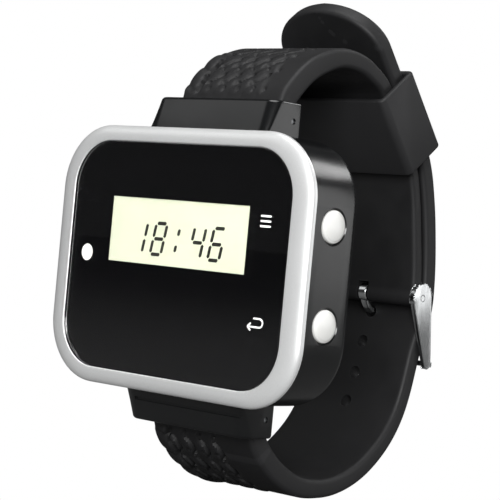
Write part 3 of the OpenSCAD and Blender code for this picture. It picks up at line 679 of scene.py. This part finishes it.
class PAGER_OT_stage(bpy.types.Operator):
    """Lay the floor, hang the soft lights and place the camera"""
    bl_idname = "pager.stage"
    bl_label = "Stage"

    def execute(self, context):
        scene = context.scene
        camera = link("camera", bpy.data.cameras.new("camera"))
        camera.data.lens, camera.data.sensor_width = 132.24, 36
        camera.data.clip_start, camera.data.clip_end = 0.01, 50
        right = Vector((0.73038, 0.67680, 0.09216))
        up = Vector((-0.07171, -0.05821, 0.99573))
        turn = Matrix((right, up, right.cross(up))).transposed().to_4x4()
        camera.matrix_world = Matrix.Translation((0.19715, -0.20875, 0.00440)) @ turn
        scene.camera = camera
        scene.view_settings.view_transform = "Standard"

        bm = bmesh.new()
        floor_z = cad_box[0].z - 0.0005
        bmesh.ops.create_circle(bm, cap_ends=True, segments=96, radius=6,
                                matrix=Matrix.Translation((0, 0, floor_z)))
        mesh = bpy.data.meshes.new("floor")
        bm.to_mesh(mesh)
        bm.free()
        floor = link("floor", mesh)
        material, tree, shader, out, place = start(
            "matt white studio sheet", **{"Roughness": 0.9, "Specular IOR Level": 0.1})
        vary(tree, shader, grain(tree, place, 40), linear("6e6e6e"), linear("747474"))
        glow = add(tree, "ShaderNodeEmission", {"Color": (1, 1, 1, 1), "Strength": 1.0})
        tree.links.new(by_ray(tree, "Is Camera Ray", shader, glow), out.inputs["Surface"])
        mesh.materials.append(material)

        world = bpy.data.worlds.new("studio")
        scene.world = world
        world.use_nodes = True
        tree = world.node_tree
        tree.nodes.clear()
        seen = add(tree, "ShaderNodeBackground", {"Color": (1, 1, 1, 1), "Strength": 1.0})
        dim = add(tree, "ShaderNodeBackground", {"Color": (1, 1, 1, 1), "Strength": 0.045})
        add(tree, "ShaderNodeOutputWorld", Surface=by_ray(tree, "Is Camera Ray", dim, seen))

        middle = (cad_box[0] + cad_box[1]) / 2
        for name, spot, width, watts in (
                ("key light", (0.42, -0.55, 0.18), 0.35, 5.6),
                ("top light", (0.05, -0.1, 0.65), 0.5, 3.2),
                ("back light", (0.7, 0.55, 0.1), 0.6, 2.0),
                ("upper back light", (0.2, 0.6, 0.52), 0.25, 1.0),
                ("upper left light", (-0.5, -0.4, 0.45), 0.3, 0.25)):
            lamp = bpy.data.lights.new(name, "AREA")
            lamp.shape, lamp.size, lamp.energy = "SQUARE", width, watts
            holder = link(name, lamp)
            aim = (middle - Vector(spot)).to_track_quat("-Z", "Y").to_matrix().to_4x4()
            holder.matrix_world = Matrix.Translation(spot) @ aim
        return {"FINISHED"}


class PAGER_OT_bezel(bpy.types.Operator):
    """Model the silver bezel with its rolled front, window seat and locating skirt"""
    bl_idname = "pager.bezel"
    bl_label = "Bezel"

    def execute(self, context):
        low, high = box("bezel")
        pane, pane_high = box("lens")
        w, h = high.x - low.x, high.z - low.z
        inner_w, inner_h, inner_r = pane_high.x - pane.x + 0.1, pane_high.z - pane.z + 0.1, WINDOW_R
        front, joint, skirt_end = low.y, low.y + JOINT_DEPTH, high.y
        lip, soft = sizes().lip / MM, 0.22
        rings = [(inner_w, inner_h, inner_r, pane_high.y)]
        rings += [(inner_w + 2 * soft * out, inner_h + 2 * soft * out, inner_r + soft * out,
                   front + soft * (1 - up)) for out, up in [(0, 0)] + rounding(4)]
        lip_w, lip_h, lip_r = inner_w + 2 * lip - 0.1, inner_h + 2 * lip - 0.1, inner_r + lip
        fall = joint - front - 0.4
        for out, down in quarter(14):
            rings.append((lip_w + out * (w - lip_w), lip_h + out * (h - lip_h),
                          lip_r + out * (CASE_R - lip_r), front + fall * down))
        soft = 0.12
        rings += [(w, h, CASE_R, joint - soft), (w - 2 * soft, h - 2 * soft, CASE_R - soft, joint)]
        wall_w, wall_h, wall_r = w - 4.0 - 0.1, h - 4.0 - 0.1, SKIRT_R
        skirt, inside = (wall_w, wall_h, wall_r), (wall_w - 1.5, wall_h - 1.5, wall_r - 0.75)
        ledge = inner_w - 2.3, inner_h - 2.3, inner_r - 1.1  # seat behind the window's edge
        rings += [(*skirt, joint), (*skirt, skirt_end), (*inside, skirt_end), (*inside, joint),
                  (*ledge, joint), (*ledge, pane_high.y + 0.1),
                  (inner_w, inner_h, inner_r, pane_high.y + 0.1)]
        bm = bmesh.new()
        loft(bm, rings, closed=True, steps=16)
        piece(bm, "bezel_ring", "bezel_silver", "case", "bezel", smooth=40)
        return {"FINISHED"}


class PAGER_OT_window(bpy.types.Operator):
    """Model the clear window, the white print behind it and the display's figures"""
    bl_idname = "pager.window"
    bl_label = "Window and display"

    def execute(self, context):
        low, high = box("lens")
        w, h, soft = high.x - low.x, high.z - low.z, 0.12
        bm = bmesh.new()
        loft(bm, [(w, h, WINDOW_R, high.y - 0.04), (w, h, WINDOW_R, low.y + soft),
                  (w - 0.35 * soft, h - 0.35 * soft, WINDOW_R - 0.2 * soft, low.y + 0.4 * soft),
                  (w - 2 * soft, h - 2 * soft, WINDOW_R - soft, low.y)], caps=True, steps=16)
        piece(bm, "window", "window_clear", "case", "lens", smooth=25)

        print_front, print_back = high.y - 0.03, high.y + 0.005
        bm = bmesh.new()
        for level in (-0.75, 0, 0.75):
            loft(bm, [(2.1, 0.3, 0.14, print_back), (2.1, 0.3, 0.14, print_front)], caps=True, steps=4,
                 x=18.0, z=7.15 + level)
        return_arrow(bm, Vector((17.75, 0, -7.65)), print_front, print_back)
        piece(bm, "window_print", "indicator_white", "case", finish=ink("white screen-print ink",
                                                                       tuple(colours().print_ink)))

        face_low, face_high = box("lcd_glass")
        centre = Vector(((face_low.x + face_high.x) / 2, 0, (face_low.z + face_high.z) / 2))
        bm = bmesh.new()
        for at, bars in ((-8.05, "bc"), (-3.85, "abcdefg"), (4.45, "bcfg"), (8.45, "acdefg")):
            figure(bm, centre + Vector((at, 0, -1.05)), bars, face_low.y - 0.04, face_low.y - 0.002)
        for level in (-1.25, 1.25):
            bar(bm, centre + Vector((0.15, 0, -1.05)), 0, level, 1.1, True, face_low.y - 0.04,
                face_low.y - 0.002)
        piece(bm, "display_figures", "window_black", "case", finish=ink("switched-on liquid crystal",
                                                                       tuple(colours().figures)))
        return {"FINISHED"}


def bar(bm, centre, x, z, size, upright, front, back):
    """One bar of a figure, with pointed ends, leaning to the right."""
    half, end = sizes().stroke / MM / 2, size / 2
    shape = [(-end, 0), (-end + half * 0.7, half), (end - half * 0.7, half), (end, 0),
             (end - half * 0.7, -half), (-end + half * 0.7, -half)]
    if upright:
        shape = [(b, a) for a, b in shape]
    verts = [bm.verts.new((centre.x + x + a + 0.19 * (z + b), front, centre.z + z + b)) for a, b in shape]
    thicken(bm, [bm.faces.new(verts)], (0, back - front, 0))


def figure(bm, centre, bars, front, back):
    """A figure of up to seven bars, named a to g from the top, clockwise, with g in the middle."""
    tall = sizes().figure_height / MM / 2
    wide = 1.17
    places = {"a": (0, tall, False), "b": (wide, tall / 2, True), "c": (wide, -tall / 2, True),
              "d": (0, -tall, False), "e": (-wide, -tall / 2, True), "f": (-wide, tall / 2, True),
              "g": (0, 0, False)}
    for name in bars:
        x, z, upright = places[name]
        bar(bm, centre, x, z, tall * 0.82 if upright else 2 * wide * 0.84, upright, front, back)


def return_arrow(bm, centre, front, back):
    """A generic return sign: a line that hooks back over itself, with an open arrow head."""
    half, run, turn_r, reach, barb = 0.13, 1.25, 0.62, 2.15, (0.62, 0.55)
    old = set(bm.faces)
    strip = [bm.edges.new([bm.verts.new(centre + Vector((-0.45, front, turn_r + side)))
                           for side in (half, -half)])]

    def grow(by):
        nonlocal strip
        out = bmesh.ops.extrude_edge_only(bm, edges=strip)["geom"]
        bmesh.ops.translate(bm, verts=only(bmesh.types.BMVert, out), vec=by)
        strip = only(bmesh.types.BMEdge, out)

    grow((run, 0, 0))
    turned = bmesh.ops.spin(bm, geom=strip, cent=centre + Vector((run - 0.45, front, 0)), axis=(0, 1, 0),
                            dvec=(0, 0, 0), angle=pi, steps=12)["geom_last"]
    strip = only(bmesh.types.BMEdge, turned)
    grow((-reach, 0, 0))
    tip = centre + Vector((-1.5, front, -turn_r))
    for lean in (1, -1):
        back_end = tip + Vector((barb[0], 0, barb[1] * lean))
        across = Vector((-(back_end - tip).z, 0, (back_end - tip).x)).normalized() * half
        bm.faces.new([bm.verts.new(p) for p in (tip + across, back_end + across,
                                                back_end - across, tip - across)])
    thicken(bm, [f for f in bm.faces if f not in old], (0, back - front, 0))


class PAGER_OT_case(bpy.types.Operator):
    """Model the rear case with the two hoods, and its back cover"""
    bl_idname = "pager.case"
    bl_label = "Rear case and cover"

    def execute(self, context):
        rim = box("bezel")
        cover_low, cover_high = box("back_cover")
        step, wall, chamfer, soft = 0.4, CASE_WALL, 1.6, 0.15
        lip, rebate = 1.4, 0.9  # the seat of the back cover
        w, h, r = rim[1].x - rim[0].x - 2 * step, rim[1].z - rim[0].z - 2 * step, CASE_R
        joint, cover_y = rim[0].y + JOINT_DEPTH, cover_low.y
        room = w - 2 * wall, h - 2 * wall, r - wall
        rings = [(*room, joint), (w - 2 * soft, h - 2 * soft, r - soft, joint), (w, h, r, joint + soft),
                 (w, h, r, cover_y - chamfer)]
        for out, down in rounding(8):
            inset = chamfer * out
            rings.append((w - 2 * inset, h - 2 * inset, r - inset, cover_y - chamfer + chamfer * down))
        inner = (w - 2 * chamfer - 2 * lip, h - 2 * chamfer - 2 * lip, r - chamfer - lip)
        rings += [(*inner, cover_y), (*inner, cover_y - rebate), (*room, cover_y - rebate)]
        shell = bmesh.new()
        loft(shell, rings, closed=True, steps=16)

        end = box("rear_case")[1].z
        bar_y, bar_z = middle_yz("upper_spring_bar")
        half, front, lean, back = 12.65, -8.3, 1.5, -0.6  # the hoods' half width and their depths
        root, root_back = h / 2 - wall / 2, -2.4
        slot_half, blind, tip_hole_r = 11.1, 11.6, 0.47
        for side in (1, -1):
            hood = bmesh.new()
            prism_x(hood, [(front, root), (front, h / 2), (front + lean, end), (back, end), (back, h / 2),
                           (root_back, root)], -half, half)
            upright = [e for e in hood.edges if e.calc_length() > 2
                       and abs(e.verts[0].co.x - e.verts[1].co.x) < 1e-5
                       and max(v.co.z for v in e.verts) > h / 2 + 1
                       and max(v.co.y for v in e.verts) < front + lean + 0.01]
            rounded(hood, upright, 2.0, 8)
            top = [e for e in hood.edges if all(abs(v.co.z - end) < 1e-4 for v in e.verts)
                   or all(abs(v.co.y - back) < 1e-4 for v in e.verts)]
            rounded(hood, top, 0.5, 5)
            if side < 0:
                bmesh.ops.scale(hood, vec=(1, 1, -1), verts=hood.verts)
            shell = carved(shell, hood, "UNION")
            slot = bmesh.new()
            prism_x(slot, [(front + 1.5, side * (h / 2 + 0.3)), (front + lean + 1.5, side * (end + 0.5)),
                           (0.5, side * (end + 0.5)), (0.5, side * (h / 2 + 0.3))], -slot_half, slot_half)
            for way in (1, -1):
                rod_x(slot, way * blind, way * (half + 1), (bar_y, side * bar_z), tip_hole_r, 24)
            shell = carved(shell, slot)
        groove = bmesh.new()  # parting groove across the lower hood
        block(groove, (-10.6, front - 0.5, -22.35), (half + 0.5, front + 0.95, -21.85))
        shell = carved(shell, groove)
        wells, well_r, flare, flare_deep = bmesh.new(), 2.5, 0.36, 0.35
        for node in ("mode_button", "return_button"):
            at = middle_yz(node)
            rod_x(wells, w / 2 - 3, w / 2 - flare_deep, at, well_r, 64)
            rod_x(wells, w / 2 - flare_deep, w / 2 + 0.05, at, well_r, 64, well_r + flare)
        shell = carved(shell, wells)
        piece(shell, "rear_shell", "case_black", "case", "rear_case", smooth=35)

        w, h, r = cover_high.x - cover_low.x, cover_high.z - cover_low.z, COVER_R
        soft = 0.5
        rings = [(w, h, r, cover_low.y), (w, h, r, -soft)]
        rings += [(w - 2 * soft * out, h - 2 * soft * out, r - soft * out, -soft + soft * down)
                  for out, down in rounding(6)]
        cover = bmesh.new()
        loft(cover, rings, caps=True, steps=16)
        seats = bmesh.new()
        low_y, past = cover_low.y - 0.2, 0.5  # holes start before the cover and end past it
        head, head_y, shank_r, pin_r = 1.45, -0.95, 0.75, 1.1
        screws_low, screws_high = box("cover_screws")
        for x in (screws_low.x + head, screws_high.x - head):
            for z in (screws_low.z + head, screws_high.z - head):
                rod(seats, (x, low_y, z), (x, head_y, z), shank_r, 32)
                rod(seats, (x, head_y, z), (x, past, z), head + 0.05, 48)
        pins_low, pins_high = box("charging_contacts")
        middle_z = (pins_low.z + pins_high.z) / 2
        for x in (pins_low.x + pin_r, pins_high.x - pin_r):
            rod(seats, (x, low_y, middle_z), (x, past, middle_z), pin_r + 0.02, 40)
        cover = carved(cover, seats)
        piece(cover, "back_plate", "case_black", "case", "back_cover", smooth=30)
        return {"FINISHED"}


class PAGER_OT_buttons(bpy.types.Operator):
    """Model the two domed push buttons"""
    bl_idname = "pager.buttons"
    bl_label = "Buttons"

    def execute(self, context):
        for node, body in (("mode_button", "mode_key"), ("return_button", "return_key")):
            low, high = box(node)
            centre = Vector((0, *middle_yz(node)))
            flange, flange_t, step, rise, soft = (high.y - low.y) / 2, 0.8, 0.55, 0.35, 0.3
            r, rim = flange - step, high.x - rise
            profile = [(0, low.x), (flange, low.x), (flange, low.x + flange_t), (r, low.x + flange_t),
                       (r, rim - soft)]
            profile += [(r - soft + soft * cos(a), rim - soft + soft * sin(a) * 1.1)
                        for a in (radians(18), radians(36), radians(54), radians(70))]
            profile += [((r - soft) * cos(a), rim + 0.04 + (rise - 0.04) * sin(a))
                        for a in [pi / 2 * i / 8 for i in range(9)]]
            bm = bmesh.new()
            lathe(bm, profile, centre, (1, 0, 0))
            piece(bm, node.replace("button", "cap"), "button_white", body, node, smooth=35)
        return {"FINISHED"}


class PAGER_OT_band(bpy.types.Operator):
    """Model both halves of the rubber band with their moulded tread, holes and eyes"""
    bl_idname = "pager.band"
    bl_label = "Band"

    def execute(self, context):
        upper, lower, keeper_knot, pin, cross = band_routes()
        half = (box("upper_strap")[1].x - box("upper_strap")[0].x) / 2
        soft = sizes().band_edge / MM
        bm = bmesh.new()
        ribbon(bm, upper, half, soft, 0.3, start_r=EYE_R, end_r=PIN_EYE_R,
               relief=tread(3.0, upper.length - 3, (upper.knot_marks[6] - 24, upper.length), False))
        cut = bmesh.new()
        rod_x(cut, -half - 1, half + 1, upper.at(0)[0], BAR_HOLE_R)
        bm = carved(bm, cut)
        cut = bmesh.new()
        rod_x(cut, -half - 1, half + 1, pin, PIN_HOLE_R, 32)
        bm = carved(bm, cut)
        cut = bmesh.new()  # slit for the tongue's knuckle
        block(cut, (-1.1, pin.x - 4.5, pin.y - 3.2), (1.1, pin.x + 4.5, pin.y + 1.9))
        bm = carved(bm, cut)
        piece(bm, "upper_band_half", "band_rubber", "upper_band", "upper_strap", smooth=40)

        covered = (lower.knot_marks[7] - 5, lower.knot_marks[11] + 10.5)  # cross bar to keeper
        bm = bmesh.new()
        ribbon(bm, lower, half, soft, 0.3, start_r=EYE_R, tip=TIP_LENGTH,
               relief=tread(3.0, lower.length - TIP_LENGTH, covered, True), outer=-1)
        cut = bmesh.new()
        rod_x(cut, -half - 1, half + 1, lower.at(0)[0], BAR_HOLE_R)
        for s in hole_places(lower):
            middle, along, t = lower.at(s)
            out = Vector((-along.y, along.x))
            a, b = middle - out * 3, middle + out * 3
            rod(cut, (0, a.x, a.y), (0, b.x, b.y), HOLE_R, 40)
        bm = carved(bm, cut)
        piece(bm, "lower_band_half", "band_rubber", "lower_band", "lower_strap", smooth=40)
        return {"FINISHED"}


def hole_places(lower):
    """Distances of the band's holes along it; the fourth is the tongue's."""
    a, b = lower.knot_marks[7:9]
    point = lower.points[round((7 + TONGUE_SHARE) * ROUTE_STEPS)][0]
    tries = [a + (b - a) * i / 400 for i in range(401)]
    tongue = min(tries, key=lambda s: (lower.at(s)[0] - point).length)
    return [tongue + i * HOLE_PITCH for i in range(-HOLES_BELOW, HOLES_ABOVE + 1)]


class PAGER_OT_keeper(bpy.types.Operator):
    """Model the rubber keeper that holds the band's free end"""
    bl_idname = "pager.keeper"
    bl_label = "Keeper"

    def execute(self, context):
        knot = band_routes()[2]
        low, high = box("keeper")
        inner, outer, wall, size, soft = -2.8, UNDER_T / 2 + 0.5 + TAIL_T + 0.25, 1.0, 14.4, 0.32
        inner_w, inner_h = high.x - low.x - 2 * wall, outer - inner
        rings = []
        for end in (-1, 1):
            for i in range(9):
                a = pi * (i if end < 0 else 8 - i) / 8
                grow = wall * (1 - cos(a))
                rings.append((inner_w + grow, inner_h + grow, 0.4 + 0.4 * grow / wall,
                              end * (size / 2 - soft + soft * sin(a))))
        bm = bmesh.new()
        loft(bm, rings, closed=True, steps=8)
        place = Matrix.Translation((0, knot[0], knot[1])) @ Matrix.Rotation(radians(knot[2]), 4, "X") \
            @ Matrix.Translation((0, 0, (inner + outer) / 2))
        bmesh.ops.transform(bm, verts=bm.verts, matrix=place)
        piece(bm, "keeper_loop", "band_rubber", "band_keeper", "keeper", smooth=45)
        return {"FINISHED"}


class PAGER_OT_buckle(bpy.types.Operator):
    """Model the steel buckle: two side plates, cross bar, pin and tongue"""
    bl_idname = "pager.buckle"
    bl_label = "Buckle"

    def execute(self, context):
        upper, lower, knot, pin, cross = band_routes()
        outer_x = box("buckle_frame")[1].x
        inner_x = outer_x - 0.85
        frame_mesh = None
        for side in (1, -1):
            plate = bmesh.new()
            rod_x(plate, side * inner_x, side * outer_x, pin, PLATE_R, 72)
            rod_x(plate, side * inner_x, side * outer_x, cross, PLATE_TIP_R)
            hull = bmesh.ops.convex_hull(plate, input=plate.verts)
            spare = only(bmesh.types.BMVert, hull["geom_interior"] + hull["geom_unused"])
            bmesh.ops.delete(plate, geom=list(set(spare)), context="VERTS")
            flat = [f for f in plate.faces if len(f.verts) > 3 and abs(f.normal.x) > 0.99]
            bmesh.ops.delete(plate, geom=flat, context="FACES_ONLY")
            tidy(plate)
            bmesh.ops.dissolve_limit(plate, angle_limit=radians(1), verts=plate.verts, edges=plate.edges)
            sharp = [e for e in plate.edges if len(e.link_faces) == 2 and e.calc_face_angle() > radians(60)]
            rounded(plate, sharp, 0.16, 3)
            hole = bmesh.new()
            rod_x(hole, side * (inner_x - 1), side * (outer_x + 1), pin, PIN_R + 0.02)
            plate = carved(plate, hole)
            frame_mesh = plate if frame_mesh is None else carved(frame_mesh, plate, "UNION")
        bar_mesh = bmesh.new()
        rod_x(bar_mesh, -inner_x - 0.1, inner_x + 0.1, cross, CROSS_R)
        frame_mesh = carved(frame_mesh, bar_mesh, "UNION")
        piece(frame_mesh, "buckle_plates", "buckle_steel", "buckle", "buckle_frame", smooth=35)

        bm = bmesh.new()
        soft, round_pin = 0.12, Vector((0, pin.x, pin.y))
        lathe(bm, [(0, -outer_x), (PIN_R - soft, -outer_x), (PIN_R, -outer_x + soft), (PIN_R, outer_x - soft),
                   (PIN_R - soft, outer_x), (0, outer_x)], round_pin, (1, 0, 0), 40)
        piece(bm, "buckle_axle", "buckle_steel", "buckle", "buckle_pin", smooth=35)

        hole, along, t = lower.at(hole_places(lower)[HOLES_BELOW])
        through = Vector((along.y, -along.x))
        reach = TAIL_T / 2 + TONGUE_T / 2 + 0.45
        knuckle_r, knuckle_hole_r = 1.6, 0.65
        corners = [Vector((pin.x - knuckle_r + TONGUE_T / 2, pin.y)), hole - through * reach,
                   hole + through * reach,
                   Vector((cross.x + CROSS_R + TONGUE_T / 2 + 0.02, cross.y - 0.3))]
        path = []
        for a, b in zip(corners, corners[1:]):
            path += [a.lerp(b, i / 24) for i in range(24)]
        path.append(corners[-1])
        for _ in range(60):
            path = [path[0]] + [(a + 2 * b + c) / 4 for a, b, c in zip(path, path[1:], path[2:])] + [path[-1]]
        knots = []
        for i, p in enumerate(path):
            ahead = path[min(i + 1, len(path) - 1)] - path[max(i - 1, 0)]
            knots.append((p.x, p.y, degrees(atan2(ahead.y, ahead.x)), TONGUE_T))
        bm = bmesh.new()
        half = TONGUE_W / 2
        ribbon(bm, Route(knots, 2), half, 0.4, 0.3, start_r=0.5, end_r=0.5)
        knuckle = bmesh.new()
        soft = 0.15
        lathe(knuckle, [(knuckle_hole_r, -half), (knuckle_r - soft, -half), (knuckle_r, -half + soft),
                        (knuckle_r, half - soft), (knuckle_r - soft, half), (knuckle_hole_r, half),
                        (knuckle_hole_r, -half)], round_pin, (1, 0, 0), 48)
        bm = carved(bm, knuckle, "UNION")
        piece(bm, "tongue", "buckle_steel", "tongue", "buckle_tongue", smooth=35)
        return {"FINISHED"}


class PAGER_OT_carried(bpy.types.Operator):
    """Give the parts carried over from the CAD frame their finishes"""
    bl_idname = "pager.carried"
    bl_label = "Carried-over parts"

    def execute(self, context):
        for name, slot in NODE_SLOTS.items():
            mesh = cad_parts[name].data
            if not mesh.materials:
                mesh.materials.append(None)
            for i in range(len(mesh.materials)):
                mesh.materials[i] = FINISH[slot]
        return {"FINISHED"}


class PAGER_PT_panel(bpy.types.Panel):
    """Sizes, colours and a button for each group of parts"""
    bl_idname = "PAGER_PT_panel"
    bl_label = "Wrist pager"
    bl_space_type = "VIEW_3D"
    bl_region_type = "UI"
    bl_category = "Wrist Pager"

    def draw(self, context):
        for group in (context.scene.pager_sizes, context.scene.pager_colours):
            rows = self.layout.box()
            for name in group.__annotations__:
                rows.prop(group, name)
        for operator in OPERATORS:
            self.layout.operator(operator.bl_idname)


OPERATORS = (PAGER_OT_stage, PAGER_OT_bezel, PAGER_OT_window, PAGER_OT_case, PAGER_OT_buttons,
             PAGER_OT_band, PAGER_OT_keeper, PAGER_OT_buckle, PAGER_OT_carried)
CLASSES = (PagerSizes, PagerColours) + OPERATORS + (PAGER_PT_panel,)


def register():
    for one in CLASSES:
        bpy.utils.register_class(one)
    bpy.types.Scene.pager_sizes = PointerProperty(type=PagerSizes)
    bpy.types.Scene.pager_colours = PointerProperty(type=PagerColours)


def unregister():
    del bpy.types.Scene.pager_sizes, bpy.types.Scene.pager_colours
    for one in reversed(CLASSES):
        bpy.utils.unregister_class(one)


def main():
    register()
    FINISH.update(finishes())
    for operator in OPERATORS:
        group, name = operator.bl_idname.split(".")
        getattr(getattr(bpy.ops, group), name)()


if __name__ == "__main__":
    main()
